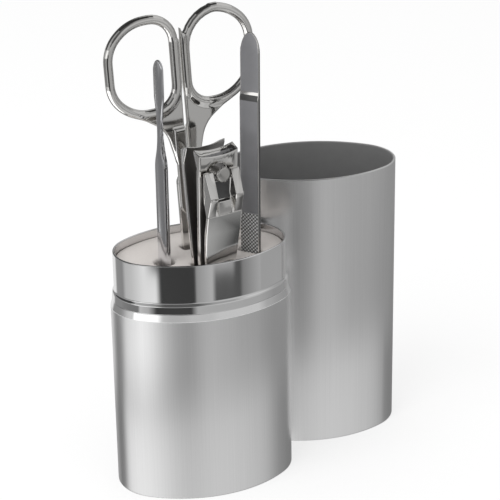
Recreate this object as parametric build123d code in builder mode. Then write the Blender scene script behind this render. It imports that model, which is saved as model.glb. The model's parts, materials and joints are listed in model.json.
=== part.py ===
from build123d import *
from math import atan2, copysign, cos, degrees, radians, sin
import os

os.makedirs("parts", exist_ok=True)

# Manicure set in an oval metal case. X runs along the oval, +Y to the back, +Z up.
# The origin is the middle of the base's foot. Millimetres and degrees.

# ------------------------------------------------------------------ oval base
case_length = 50.0  # outside, along X
case_depth = 34.0  # outside, along Y
end_radius = 13.1  # of the two tight arcs at the oval's ends
base_height = 54.6  # foot to mouth
base_wall = 1.0
base_floor = 1.2
foot_edge = 0.5
lip_height = 2.0  # the mouth's sloping lip
lip_slope = 0.55  # how far the lip leans in

# ---------------------------------------------------------------- neck sleeve
neck_rise = 13.5  # rim above the base's mouth
neck_depth = 20.0  # length held inside the base
neck_wall = 0.6
neck_fit = 0.08  # gap to the base's wall
bead_height = 2.6
bead_inset = 0.35  # bead's crest inside the case's outline
bead_edge = 0.6
rim_edge = 0.2

# ---------------------------------------------------------------- holder tray
deck_drop = 2.3  # deck below the neck's rim
deck_thickness = 1.6
skirt_height = 9.0
tray_wall = 0.8
tray_fit = 0.1  # gap to the sleeve
pocket_corner = 1.0
mouth_edge = 0.5  # bevel round each pocket
tool_play = 0.4  # room between a tool and its pocket

# ------------------------------------------------------------------------ cap
cap_height = 80.0
cap_wall = 0.8
cap_floor = 1.0
cap_rim_edge = 0.2
cap_gap = 0.53  # to the base it stands beside
cap_bearing = 49.84  # where the two ovals come closest, round the base's right end
cap_turn = -10.04

# ------------------------------------------------------------------- scissors
scissor_x = 0.10
scissor_setback = 12.4  # from the oval's back
scissor_turn = 7.26
scissor_lean = 3.0
ring_wire = 2.45
ring_facets = 12  # sides of the wire's section, near enough round
ring_gap = 0.75  # between the closed rings
ring_width = 18.6  # along the wire's middle
ring_length = 25.05
ring_start = 39.4  # wire's lowest point above the deck
ring_corner = 6.7  # radius at the two corners by the shank
ring_cut_x = 6.6  # the two outer corners are cut by slanting runs
ring_cut_y = 5.6
ring_end_radius = 11.0
ring_side_radius = 9.0
web_thickness = 1.8
web_foot = 25.0  # where the two handles part, above the deck
web_gap = 1.2  # between the handles there
web_hollow_x = 5.6  # middle of the web's hollow edge
web_hollow_height = 33.9
neck_half = 3.45  # half the width of the closed scissors at the neck
blade_half = 3.3
blade_thickness = 1.4
blade_gap = 0.05
blade_overlap = 0.9  # each cutting edge past the middle
blade_tip = 21.0  # tip below the deck
blade_belly = 9.0  # where the back curves in to the tip, below the deck
tip_half = 0.45
shoulder_height = 15.0  # the handle's side starts to curve in to the cutting edge
edge_start = 7.0
crotch_start = 17.0  # the other side starts to curve in to where the handles part
pivot_height = 15.0
screw_radius = 1.2
screw_fit = 0.05
screw_head_radius = 2.2
screw_head = 0.7
screw_slot = 0.5
screw_slot_turn = 35.0
scissor_opening = 28.0

# --------------------------------------------------------------- nail clipper
clipper_x = 0.57
clipper_setback = 8.75  # from the oval's front
clipper_turn = 15.0
arm_thickness = 1.2
arm_gap = 0.04  # between the arms at the tail
arm_spread = 3.2  # inner face off the middle at the bend
head_half = 6.05
tail_half = 4.4
tail_round = 2.6
tail_depth = 22.0  # tail below the deck
hinge_depth = 12.0  # rivet below the deck
bend_height = 31.3  # outer edge of each jaw's roof
bend_depth = 3.4  # inside of the bend, below that edge
edge_height = 32.6  # ends of the cutting edges
edge_land = 0.15
jaw_gap = 3.3
jaw_sag = 0.9  # hollow of the roofs and cutting edges
pin_height = 25.9
pin_radius = 1.3
pin_slack = 1.3
pin_play = 0.2  # pin and its cap to the lever's bar
pin_head_radius = 2.4
pin_head = 0.8
pin_cap_radius = 2.1
pin_cap = 0.9
rivet_radius = 1.1
rivet_slack = 0.15  # round the shank, in the arm that swings
rivet_play = 0.06  # under the front head
rivet_head_radius = 1.9
rivet_head = 0.6
lever_thickness = 1.1
lever_gap = 0.35  # to the arm at the fulcrum, and to the rivet
lever_head_half = 5.3
lever_tail_half = 3.7
lever_tail_depth = 19.5
lever_top = 26.9
lever_relief = 0.35
ear_height = 20.5
ear_rise = 4.0
ear_foot = 15.2
ear_lip = 0.9
window_half = 2.75
tongue_half = 2.0
tongue_top = 19.0
tongue_rise = 1.5
lever_tilt = 1.8
lever_play = 0.3  # room in front of the lever's tail at full tilt

# ------------------------------------------------------------------ nail file
file_setback = 12.2  # from the oval's right end
file_y = -4.85
file_turn = -50.0
file_lean = -0.55
file_half = 2.8
file_thickness = 1.3
file_top = 60.1
file_top_taper = 5.5
file_depth = 27.0
file_end_taper = 4.0
facet_start = 42.5
facet_blend = 3.2
facet_thickness = 0.8
facet_edge = 0.4

# ------------------------------------------------------------- cuticle pusher
pusher_setback = 13.8  # from the oval's left end
pusher_y = -4.0
pusher_turn = -62.0
pusher_half = 1.65
pusher_thickness = 1.8
pusher_depth = 29.0
body_top = 26.0
shoulder_length = 4.0
stem_half = 1.1
stem_length = 11.0
spoon_half = 1.7
spoon_flare = 5.0  # from the stem to the spoon's full width
spoon_length = 9.2
spoon_thickness = 0.8
pusher_hole_radius = 2.7

# -------------------------------------------------------------- derived places
deck_height = base_height + neck_rise - deck_drop
neck_inset = base_wall + neck_fit
tray_inset = neck_inset + neck_wall + tray_fit
end_centre = case_length / 2 - end_radius
side_radius = (end_centre**2 + (case_depth / 2) ** 2 - end_radius**2) / (case_depth - 2 * end_radius)
side_centre = side_radius - case_depth / 2
join_angle = degrees(atan2(side_centre, end_centre))
scissor_y = case_depth / 2 - scissor_setback
clipper_y = clipper_setback - case_depth / 2
file_x = case_length / 2 - file_setback
pusher_x = pusher_setback - case_length / 2
stem_height = body_top + shoulder_length
stem_top = stem_height + stem_length
spoon_height = stem_top + spoon_flare
pusher_top = spoon_height + spoon_length


def oval(inset, plane):
    """Sketch of the case's outline, moved inwards by inset: two tight and two wide arcs."""
    with BuildSketch(plane) as outline:
        with BuildLine():
            CenterArc((end_centre, 0), end_radius - inset, -join_angle, 2 * join_angle)
            CenterArc((0, -side_centre), side_radius - inset, join_angle, 180 - 2 * join_angle)
            CenterArc((-end_centre, 0), end_radius - inset, 180 - join_angle, 2 * join_angle)
            CenterArc((0, side_centre), side_radius - inset, 180 + join_angle, 180 - 2 * join_angle)
        make_face()
    return outline.sketch


def outline_point(bearing):
    """Point of the outline that faces along a bearing, on a tight or a wide arc."""
    facing = Vector(cos(radians(bearing)), sin(radians(bearing)))
    if abs(facing.Y) < sin(radians(join_angle)):
        return Vector(copysign(end_centre, facing.X), 0) + facing * end_radius
    return Vector(0, -copysign(side_centre, facing.Y)) + facing * side_radius


def cap_plane(height):
    """Level plane in the cap, which stands turned beside the base, a small gap away."""
    nearest = outline_point(cap_bearing) + Vector(cap_gap, 0).rotate(Axis.Z, cap_bearing)
    middle = nearest - outline_point(cap_bearing + 180 - cap_turn).rotate(Axis.Z, cap_turn)
    return Plane(origin=(middle.X, middle.Y, height), x_dir=Vector(1, 0).rotate(Axis.Z, cap_turn))


def tool_plane(x, y, turn, lean=0.0):
    """Plane of a tool: x across it, y up from the deck, z out of its front."""
    level = Plane(origin=(x, y, deck_height), x_dir=Vector(1, 0).rotate(Axis.Z, turn))
    front = -level.y_dir
    return Plane(origin=level.origin, x_dir=level.x_dir.rotate(Axis((0, 0, 0), front), lean), z_dir=front)


def side_plane(plane):
    """Plane through a tool's middle: x out of its front, y up."""
    return Plane(origin=plane.origin, x_dir=plane.z_dir, z_dir=-plane.x_dir)


scissor_plane = tool_plane(scissor_x, scissor_y, scissor_turn, scissor_lean)
clipper_plane = tool_plane(clipper_x, clipper_y, clipper_turn)
file_plane = tool_plane(file_x, file_y, file_turn, file_lean)
pusher_plane = tool_plane(pusher_x, pusher_y, pusher_turn)


# ------------------------------------------------------------------------ case
with BuildPart() as base_shell:
    extrude(oval(0, Plane.XY), amount=base_height - lip_height)
    chamfer(base_shell.edges().group_by(Axis.Z)[0], foot_edge)
    lip_taper = degrees(atan2(lip_slope, lip_height))
    extrude(oval(0, Plane.XY.offset(base_height - lip_height)), amount=lip_height, taper=lip_taper)
    extrude(oval(base_wall, Plane.XY.offset(base_floor)), amount=base_height, mode=Mode.SUBTRACT)
base_shell.part.label = "base_shell"
export_step(base_shell.part, "parts/base_shell.step")

with BuildPart() as neck_sleeve:
    extrude(oval(bead_inset, Plane.XY.offset(base_height)), amount=bead_height)
    chamfer(neck_sleeve.edges().group_by(Axis.Z)[-1], bead_edge)
    foot = Plane.XY.offset(base_height - neck_depth)
    extrude(oval(neck_inset, foot), amount=neck_depth + neck_rise)
    chamfer(neck_sleeve.edges().group_by(Axis.Z)[-1], rim_edge)
    extrude(oval(neck_inset + neck_wall, foot), amount=neck_depth + neck_rise, mode=Mode.SUBTRACT)
neck_sleeve.part.label = "neck_sleeve"
export_step(neck_sleeve.part, "parts/neck_sleeve.step")

with BuildPart() as cap_shell:
    extrude(oval(0, cap_plane(0)), amount=cap_height)
    chamfer(cap_shell.edges().group_by(Axis.Z)[0], foot_edge)
    extrude(oval(cap_wall, cap_plane(cap_floor)), amount=cap_height, mode=Mode.SUBTRACT)
    chamfer(cap_shell.edges().group_by(Axis.Z)[-1], cap_rim_edge)
cap_shell.part.label = "cap_shell"
export_step(cap_shell.part, "parts/cap_shell.step")

# -------------------------------------------------------------------- scissors
scissor_axis = Axis(scissor_plane.origin, scissor_plane.z_dir)
ring_left = ring_gap / 2 + ring_wire / 2
ring_right = ring_left + ring_width
ring_top = ring_start + ring_length
ring_bends = (ring_corner, ring_end_radius, ring_side_radius)


def scissor_half(side, layer):
    """One blade with its handle and ring. side is where the ring is, layer where the blade lies."""
    blade_plane = scissor_plane.offset(blade_gap / 2 if layer > 0 else -blade_gap / 2 - blade_thickness)
    with BuildPart() as half:
        with BuildSketch(blade_plane):
            with BuildLine():
                handle = Line((side * neck_half, web_hollow_height), (side * neck_half, shoulder_height))
                shoulder = TangentArc(handle @ 1, (side * blade_overlap, edge_start), tangent=handle % 1)
                edge = Line(shoulder @ 1, (side * tip_half, tip_half - blade_tip))
                tip = ThreePointArc(edge @ 1, (0, -blade_tip), (-side * tip_half, tip_half - blade_tip))
                belly = (-side * blade_half * 2 / 3, -blade_belly)
                back = ThreePointArc(tip @ 1, belly, (-side * blade_half, 0))
                flank = Line(back @ 1, (-side * neck_half, crotch_start))
                crotch = TangentArc(flank @ 1, (side * web_gap / 2, web_foot), tangent=flank % 1)
                inner = Line(crotch @ 1, (side * web_gap / 2, web_hollow_height))
                Line(inner @ 1, handle @ 0)
            make_face()
        extrude(amount=blade_thickness)
        with BuildSketch(scissor_plane.offset(-web_thickness / 2)):
            with BuildLine():
                inside = Line((side * web_gap / 2, web_foot), (side * ring_gap / 2, ring_top - ring_corner))
                top = Line(inside @ 1, (side * ring_left, ring_top - ring_corner))
                down = Line(top @ 1, (side * ring_left, ring_start + ring_corner))
                turn_end = (side * (ring_left + ring_corner), ring_start)
                corner = TangentArc(down @ 1, turn_end, tangent=down % 1)
                under = Line(corner @ 1, (side * (ring_right - ring_cut_x), ring_start))
                hollow = ThreePointArc(
                    under @ 1, (side * web_hollow_x, web_hollow_height), (side * neck_half, web_foot)
                )
                Line(hollow @ 1, inside @ 0)
            make_face()
        extrude(amount=web_thickness)
        with BuildLine(scissor_plane) as wire:
            FilletPolyline(
                (side * ring_left, ring_top),
                (side * (ring_right - ring_cut_x), ring_top),
                (side * ring_right, ring_top - ring_cut_y),
                (side * ring_right, ring_start + ring_cut_y),
                (side * (ring_right - ring_cut_x), ring_start),
                (side * ring_left, ring_start),
                radius=(*ring_bends, *reversed(ring_bends)),
                close=True,
            )
        with BuildSketch(Plane(origin=wire.wire() @ 0, z_dir=wire.wire() % 0)):
            RegularPolygon(ring_wire / 2, ring_facets, rotation=180 / ring_facets)
        sweep(path=wire.wire())
        with Locations(scissor_plane.offset(blade_thickness * 2) * Pos(0, pivot_height)):
            Hole(screw_radius + (screw_fit if layer > 0 else 0))
    return half.part


scissor_blade_right = scissor_half(1, -1)
scissor_blade_right.label = "scissor_blade_right"
export_step(scissor_blade_right, "parts/scissor_blade_right.step")

scissor_blade_left = scissor_half(-1, 1)
scissor_blade_left.label = "scissor_blade_left"
export_step(scissor_blade_left, "parts/scissor_blade_left.step")

with BuildPart() as scissor_screw:
    with BuildSketch(scissor_plane.offset(-blade_gap / 2 - blade_thickness)):
        with Locations((0, pivot_height)):
            Circle(screw_radius)
    extrude(amount=2 * blade_thickness + blade_gap + screw_fit)
    with BuildSketch(scissor_plane.offset(blade_gap / 2 + blade_thickness + screw_fit)):
        with Locations((0, pivot_height)):
            Circle(screw_head_radius)
    extrude(amount=screw_head)
    chamfer(scissor_screw.edges().group_by(scissor_axis)[-1], screw_head / 3)
    with BuildSketch(scissor_plane.offset(blade_gap / 2 + blade_thickness + screw_fit + screw_head)):
        with Locations((0, pivot_height)):
            Rectangle(2 * screw_head_radius, screw_slot, rotation=screw_slot_turn)
    extrude(amount=-screw_head / 2, mode=Mode.SUBTRACT)
scissor_screw.part.label = "scissor_screw"
export_step(scissor_screw.part, "parts/scissor_screw.step")

# ---------------------------------------------------------------- nail clipper
clipper_side = side_plane(clipper_plane)
clipper_axis = Axis(clipper_plane.origin, clipper_plane.z_dir)
spread_slope = (arm_spread - arm_gap / 2) / (bend_height + hinge_depth)
roof_run = arm_spread + arm_thickness - jaw_gap / 2
roof_slope = (edge_height - bend_height) / roof_run


def arm_inner(height):
    """Inner face of the front arm off the clipper's middle, at a height above the deck."""
    return arm_gap / 2 + spread_slope * max(height + hinge_depth, 0)


def arm_outer(height):
    return arm_inner(height) + arm_thickness


rivet_seat = arm_outer(rivet_head_radius - hinge_depth) + rivet_play
lever_start = rivet_seat + rivet_head + lever_gap
lever_slope = (arm_outer(tongue_top) + lever_gap - lever_start) / (tongue_top + hinge_depth)
bar_top = pin_height - pin_radius - pin_play


def lever_inner(height):
    """Lever's underside off the clipper's middle: straight to the fulcrum, then bent away from the arm."""
    if height <= tongue_top:
        return lever_start + lever_slope * (height + hinge_depth)
    bend = (height - tongue_top) / (lever_top - tongue_top)
    return lever_inner(tongue_top) * (1 - bend) + (arm_outer(lever_top) + lever_gap + lever_relief) * bend


def lever_outer(height):
    return lever_inner(height) + lever_thickness


def clipper_outline(top, head, tail, bottom):
    """Sketch of an arm or the lever from the front: wide at the head, rounded at the tail."""
    with BuildSketch(clipper_plane) as outline:
        with BuildLine():
            Polyline(
                (-head, top),
                (-head, pin_height),
                (-tail, -bottom),
                (tail, -bottom),
                (head, pin_height),
                (head, top),
                close=True,
            )
        make_face()
        fillet(outline.vertices().group_by(Axis.Y)[0], tail_round)
    return outline.sketch


def clipper_arm(front, pin_room, rivet_room):
    """One arm: a spring strip that leans out from the rivet and bends in to its hollow-ground edge."""
    ceiling = edge_height + jaw_sag
    with BuildPart() as arm:
        with BuildSketch(clipper_side):
            with BuildLine():
                Polyline(
                    (front * arm_inner(-tail_depth), -tail_depth),
                    (front * arm_inner(-hinge_depth), -hinge_depth),
                    (front * arm_inner(bend_height - bend_depth), bend_height - bend_depth),
                    (front * jaw_gap / 2, edge_height - jaw_sag - edge_land),
                    (front * jaw_gap / 2, ceiling),
                    (front * arm_outer(ceiling), ceiling),
                    (front * arm_outer(-hinge_depth), -hinge_depth),
                    (front * arm_outer(-tail_depth), -tail_depth),
                    close=True,
                )
            make_face()
        extrude(amount=head_half, both=True)
        outline = clipper_outline(ceiling, head_half, tail_half, tail_depth)
        extrude(outline, amount=case_depth, both=True, mode=Mode.INTERSECT)
        with BuildSketch(clipper_plane.offset(front * jaw_gap / 2)) as hollow:
            with BuildLine():
                lowest = (0, edge_height - jaw_sag)
                smile = ThreePointArc((-head_half, edge_height), lowest, (head_half, edge_height))
                Polyline(smile @ 1, (head_half, 2 * ceiling), (-head_half, 2 * ceiling), smile @ 0)
            make_face()
        grind = clipper_plane.z_dir * front - clipper_plane.y_dir * roof_slope
        extrude(hollow.sketch, amount=2 * roof_run, dir=grind, both=True, mode=Mode.SUBTRACT)
        with Locations(clipper_plane.offset(case_depth / 2) * Pos(0, pin_height)):
            Hole(pin_radius + pin_room)
        with Locations(clipper_plane.offset(case_depth / 2) * Pos(0, -hinge_depth)):
            Hole(rivet_radius + rivet_room)
    return arm.part


clipper_lower_arm = clipper_arm(-1, pin_room=0, rivet_room=0)
clipper_lower_arm.label = "clipper_lower_arm"
export_step(clipper_lower_arm, "parts/clipper_lower_arm.step")

clipper_upper_arm = clipper_arm(1, pin_slack, rivet_slack)
clipper_upper_arm.label = "clipper_upper_arm"
export_step(clipper_upper_arm, "parts/clipper_upper_arm.step")

with BuildPart() as clipper_lever:
    with BuildSketch(clipper_side):
        with BuildLine():
            Polyline(
                (lever_inner(-lever_tail_depth), -lever_tail_depth),
                (lever_inner(tongue_top), tongue_top),
                (lever_inner(lever_top), lever_top),
                (lever_outer(lever_top), lever_top),
                (lever_inner(ear_height) + ear_rise, ear_height),
                (lever_inner(ear_height) + ear_rise - ear_lip / 2, ear_height - ear_lip),
                (lever_outer(ear_foot), ear_foot),
                (lever_outer(-lever_tail_depth), -lever_tail_depth),
                close=True,
            )
        make_face()
    extrude(amount=lever_head_half, both=True)
    outline = clipper_outline(lever_top, lever_head_half, lever_tail_half, lever_tail_depth)
    extrude(outline, amount=case_depth, both=True, mode=Mode.INTERSECT)
    with BuildSketch(clipper_plane):
        with Locations((0, lever_top)):
            Rectangle(2 * window_half, 2 * (lever_top - bar_top))
    extrude(amount=case_depth, both=True, mode=Mode.SUBTRACT)
    with BuildSketch(clipper_side) as between_ears:
        with BuildLine():
            Polyline(
                (lever_outer(ear_foot), ear_foot),
                (lever_outer(tongue_top), tongue_top),
                (lever_outer(lever_top), lever_top),
                (lever_outer(lever_top) + 2 * ear_rise, lever_top),
                (lever_outer(ear_foot) + 2 * ear_rise, ear_foot),
                close=True,
            )
        make_face()
    extrude(between_ears.sketch, amount=window_half, both=True, mode=Mode.SUBTRACT)
    with BuildSketch(clipper_side) as tongue:
        with BuildLine():
            Polyline(
                (lever_inner(ear_foot), ear_foot),
                (lever_outer(ear_foot), ear_foot),
                (lever_outer(tongue_top) + tongue_rise, tongue_top),
                (lever_inner(tongue_top), tongue_top),
                close=True,
            )
        make_face()
    extrude(tongue.sketch, amount=tongue_half, both=True)
clipper_lever.part.label = "clipper_lever"
export_step(clipper_lever.part, "parts/clipper_lever.step")

with BuildPart() as clipper_pin:
    back = -arm_outer(pin_height + pin_head_radius)
    neck = lever_outer(bar_top) + pin_play
    with BuildSketch(clipper_plane.offset(back - pin_head)):
        with Locations((0, pin_height)):
            Circle(pin_head_radius)
    extrude(amount=pin_head)
    chamfer(clipper_pin.edges().group_by(clipper_axis)[0], pin_head / 2)
    with BuildSketch(clipper_plane.offset(back)):
        with Locations((0, pin_height)):
            Circle(pin_radius)
    extrude(amount=neck - back)
    with BuildSketch(clipper_plane.offset(neck)):
        with Locations((0, pin_height)):
            Circle(pin_cap_radius)
    extrude(amount=pin_cap)
    chamfer(clipper_pin.edges().group_by(clipper_axis)[-1], pin_cap / 3)
clipper_pin.part.label = "clipper_pin"
export_step(clipper_pin.part, "parts/clipper_pin.step")

with BuildPart() as clipper_rivet:
    back = -arm_outer(rivet_head_radius - hinge_depth)
    with BuildSketch(clipper_plane.offset(back)):
        with Locations((0, -hinge_depth)):
            Circle(rivet_radius)
    extrude(amount=rivet_seat - back)
    for start, height in ((back, -rivet_head), (rivet_seat, rivet_head)):
        with BuildSketch(clipper_plane.offset(start)):
            with Locations((0, -hinge_depth)):
                Circle(rivet_head_radius)
        extrude(amount=height)
    ends = clipper_rivet.edges().group_by(clipper_axis)
    chamfer(ends[0] + ends[-1], rivet_head / 2)
clipper_rivet.part.label = "clipper_rivet"
export_step(clipper_rivet.part, "parts/clipper_rivet.step")

# ------------------------------------------------------------------- nail file
with BuildPart() as nail_file:
    with BuildSketch(side_plane(file_plane)):
        with BuildLine():
            front = file_thickness / 2
            face = facet_thickness - front
            Polyline(
                (front, facet_start),
                (front, -file_depth),
                (-front, -file_depth),
                (-front, file_top),
                (facet_edge - front, file_top),
                (face, file_top - file_top_taper),
                (face, facet_start + facet_blend),
            )
            TangentArc((face, facet_start + facet_blend), (front, facet_start), tangent=(0, -1))
        make_face()
    extrude(amount=file_half, both=True)
    with BuildSketch(file_plane):
        with BuildLine():
            top = file_top - file_top_taper
            bottom = file_end_taper - file_depth
            EllipticalCenterArc((0, top), file_half, file_top_taper, start_angle=0, arc_size=180)
            Line((-file_half, top), (-file_half, bottom))
            EllipticalCenterArc((0, bottom), file_half, file_end_taper, start_angle=180, arc_size=180)
            Line((file_half, bottom), (file_half, top))
        make_face()
    extrude(amount=file_thickness, both=True, mode=Mode.INTERSECT)
nail_file.part.label = "nail_file"
export_step(nail_file.part, "parts/nail_file.step")

# -------------------------------------------------------------- cuticle pusher
with BuildPart() as cuticle_pusher:
    with BuildSketch(side_plane(pusher_plane)):
        with BuildLine():
            front = pusher_thickness / 2
            face = spoon_thickness / 2
            Polyline(
                (front, stem_height),
                (front, -pusher_depth),
                (-front, -pusher_depth),
                (-front, stem_height),
                (-face, stem_top),
                (-face, pusher_top),
                (face, pusher_top),
                (face, stem_top),
                close=True,
            )
        make_face()
    extrude(amount=pusher_half, both=True)
    with BuildSketch(pusher_plane):
        with BuildLine():
            spoon = EllipticalCenterArc(
                (0, pusher_top - 2 * spoon_half), spoon_half, 2 * spoon_half, start_angle=0, arc_size=180
            )
            left = Spline(
                spoon @ 1,
                (-spoon_half, spoon_height),
                (-stem_half, stem_top),
                (-stem_half, stem_height),
                (-pusher_half, body_top),
                tangents=((0, -1), (0, -1)),
            )
            foot = pusher_half - pusher_depth
            Line(left @ 1, (-pusher_half, foot))
            end = ThreePointArc((-pusher_half, foot), (0, -pusher_depth), (pusher_half, foot))
            Line(end @ 1, (pusher_half, body_top))
            Spline(
                (pusher_half, body_top),
                (stem_half, stem_height),
                (stem_half, stem_top),
                (spoon_half, spoon_height),
                spoon @ 0,
                tangents=((0, 1), (0, 1)),
            )
        make_face()
    extrude(amount=pusher_thickness, both=True, mode=Mode.INTERSECT)
cuticle_pusher.part.label = "cuticle_pusher"
export_step(cuticle_pusher.part, "parts/cuticle_pusher.step")

# ----------------------------------------------------------------- holder tray
def plan_plane(x, y, turn, height):
    """Level plane whose x runs across a tool."""
    return Plane(origin=(x, y, height), x_dir=(cos(radians(turn)), sin(radians(turn)), 0))


def half_width(height, head, tail, bottom):
    """Half width of an arm or the lever at a height above the deck."""
    return tail + (head - tail) * (height + bottom) / (pin_height + bottom)


def scissor_pocket(height, grow):
    """A slot for the closed blades, with a fan to one side for the blade that swings."""
    drift = blade_tip * sin(radians(scissor_lean))
    reach = (pivot_height + blade_tip) * sin(radians(scissor_opening + scissor_lean))
    left = -neck_half - tool_play
    right = neck_half + drift + tool_play
    far = reach - pivot_height * sin(radians(scissor_lean)) + tip_half + tool_play
    front = blade_gap / 2 + blade_thickness + tool_play
    with BuildSketch(plan_plane(scissor_x, scissor_y, scissor_turn, height)) as mouth:
        with BuildLine():
            Polyline(
                (left, -front),
                (far, -front),
                (far, tool_play),
                (right + 2 * front, tool_play),
                (right, front),
                (left, front),
                close=True,
            )
        make_face()
        fillet(mouth.vertices(), pocket_corner)
        if grow:
            offset(amount=grow)
    return mouth.sketch


def clipper_pocket(height, grow):
    """Room for both arms, and in front for the lever's tail to swing out."""
    arm_side = half_width(0, head_half, tail_half, tail_depth) + tool_play
    lever_side = half_width(0, lever_head_half, lever_tail_half, lever_tail_depth) + tool_play
    arms = arm_outer(0) + tool_play
    lever = lever_outer(0) + tongue_top * sin(radians(lever_tilt)) + lever_play
    with BuildSketch(plan_plane(clipper_x, clipper_y, clipper_turn, height)) as mouth:
        with BuildLine():
            Polyline(
                (-arm_side, arms),
                (arm_side, arms),
                (arm_side, -arms),
                (lever_side, -lever),
                (-lever_side, -lever),
                (-arm_side, -arms),
                close=True,
            )
        make_face()
        fillet(mouth.vertices(), pocket_corner)
        if grow:
            offset(amount=grow)
    return mouth.sketch


def file_pocket(height, grow):
    """A slot round the file, wider by what the file leans."""
    width = 2 * (file_half + tool_play + file_depth * sin(radians(abs(file_lean))))
    with BuildSketch(plan_plane(file_x, file_y, file_turn, height)) as mouth:
        depth = file_thickness + 2 * tool_play
        RectangleRounded(width + 2 * grow, depth + 2 * grow, file_thickness / 2 + grow)
    return mouth.sketch


def pusher_pocket(height, grow):
    """A round hole."""
    with BuildSketch(plan_plane(pusher_x, pusher_y, pusher_turn, height)) as mouth:
        Circle(pusher_hole_radius + grow)
    return mouth.sketch


pockets = (
    (scissor_pocket, blade_tip * cos(radians(scissor_lean))),
    (clipper_pocket, tail_depth),
    (file_pocket, file_depth * cos(radians(file_lean))),
    (pusher_pocket, pusher_depth),
)

with BuildPart() as holder_tray:
    underside = Plane.XY.offset(deck_height - skirt_height)
    extrude(oval(tray_inset, underside), amount=skirt_height)
    inner = oval(tray_inset + tray_wall, underside)
    extrude(inner, amount=skirt_height - deck_thickness, mode=Mode.SUBTRACT)
    for pocket, depth in pockets:
        extrude(pocket(deck_height - depth - tray_wall, tray_wall), amount=depth)
    extrude(oval(tray_inset, Plane.XY), amount=deck_height, mode=Mode.INTERSECT)
    for pocket, depth in pockets:
        extrude(pocket(deck_height - depth, 0), amount=2 * depth, mode=Mode.SUBTRACT)
    deck = holder_tray.faces().filter_by(Plane.XY).sort_by(Axis.Z)[-1]
    chamfer([edge for wire in deck.inner_wires() for edge in wire.edges()], mouth_edge)
holder_tray.part.label = "holder_tray"
export_step(holder_tray.part, "parts/holder_tray.step")
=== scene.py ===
"""Manicure set in an oval metal case: its looks, in metres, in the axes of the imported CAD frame."""

import json
from math import atan2, cos, hypot, pi, radians, sin, tan

import bmesh
import bpy
import numpy as np
from mathutils import Matrix, Vector


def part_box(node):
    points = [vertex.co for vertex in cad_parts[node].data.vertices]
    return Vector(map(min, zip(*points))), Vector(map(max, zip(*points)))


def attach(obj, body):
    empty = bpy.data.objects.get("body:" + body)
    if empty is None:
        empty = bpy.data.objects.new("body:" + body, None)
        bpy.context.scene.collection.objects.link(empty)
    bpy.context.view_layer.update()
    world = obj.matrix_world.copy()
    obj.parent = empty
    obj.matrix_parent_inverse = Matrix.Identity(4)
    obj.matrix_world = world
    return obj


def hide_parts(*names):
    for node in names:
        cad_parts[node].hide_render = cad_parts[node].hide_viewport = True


MM = 0.001

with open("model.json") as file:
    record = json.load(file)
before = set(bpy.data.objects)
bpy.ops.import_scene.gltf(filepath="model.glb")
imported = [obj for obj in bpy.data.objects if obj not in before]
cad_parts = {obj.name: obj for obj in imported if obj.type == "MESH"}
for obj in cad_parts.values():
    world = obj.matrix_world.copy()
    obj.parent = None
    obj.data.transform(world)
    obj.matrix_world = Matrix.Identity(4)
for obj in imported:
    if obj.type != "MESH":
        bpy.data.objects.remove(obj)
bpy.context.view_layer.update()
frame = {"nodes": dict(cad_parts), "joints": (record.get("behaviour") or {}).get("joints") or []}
joints = {joint["name"]: joint for joint in frame["joints"]}
scene = bpy.context.scene
scene.view_settings.view_transform = "Standard"

# ------------------------------------------------------------------- measures
# Millimetres, as in the part.
CASE_LOW, CASE_HIGH = (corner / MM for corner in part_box("base_shell"))
NECK_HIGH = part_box("neck_sleeve")[1] / MM
NECK_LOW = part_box("neck_sleeve")[0] / MM
CAP_LOW, CAP_HIGH = (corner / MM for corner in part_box("cap_shell"))
DECK_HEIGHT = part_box("holder_tray")[1].z / MM
CASE_LENGTH = CASE_HIGH.x - CASE_LOW.x
CASE_DEPTH = CASE_HIGH.y - CASE_LOW.y
END_RADIUS = 13.1
CAP_TURN = -10.04  # degrees

BASE_WALL = 1.0
BASE_FLOOR = 1.2
LIP_HEIGHT = 2.0
LIP_SLOPE = 0.55
LIP_HIGHLIGHT_HALF = 0.2  # half width of the painted highlight line below the lip
NECK_INSET = 1.08
NECK_WALL = 0.6
BEAD_INSET = 0.35
BEAD_HEIGHT = 2.6
BEAD_SLOPE = 0.25
BEAD_FOOT = 0.1  # how far the bead's foot stands in
BEAD_SHOULDER = 0.4  # its slope ends this far below its top
FLARE_RISE = 0.2  # the bead runs out into the sleeve's wall this far above its top
CAP_WALL = 0.8
CAP_FLOOR = 1.0

# The scissors: heights are above the deck.
RING_WIRE = 2.45
RING_GAP = 0.75
RING_WIDTH = 18.6
RING_LENGTH = 25.05
RING_START = 39.4
RING_CUT = (6.6, 5.6)  # what is cut off its outer corners, across and up
RING_CORNER = 6.7
RING_END_RADIUS = 11.0
RING_SIDE_RADIUS = 9.0
WEB_THICKNESS = 1.8
WEB_EDGE = 0.45
WEB_FOOT = 25.0
WEB_GAP = 1.2
WEB_HOLLOW = (5.6, 33.9)  # the corner that its curve from ring to neck rounds off, across and up
WEB_HOLLOW_RADIUS = 9.0
SPIKE_HEIGHT = 61.2  # one handle's flat runs up beside its ring to a point here
SPIKE_CORNER = 9.5
GROOVE = (1.5, 0.32)  # middle and half width of the groove between that flat and the ring
NECK_HALF = 3.45
BLADE_HALF = 3.3
BLADE_THICKNESS = 1.4
BLADE_EDGE = 0.3
BLADE_GAP = 0.05
BLADE_OVERLAP = 0.9
BLADE_POINT = 0.45  # half the blade's width at its point
BLADE_TIP = 21.0  # below the deck
PIVOT_HEIGHT = 15.0
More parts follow.
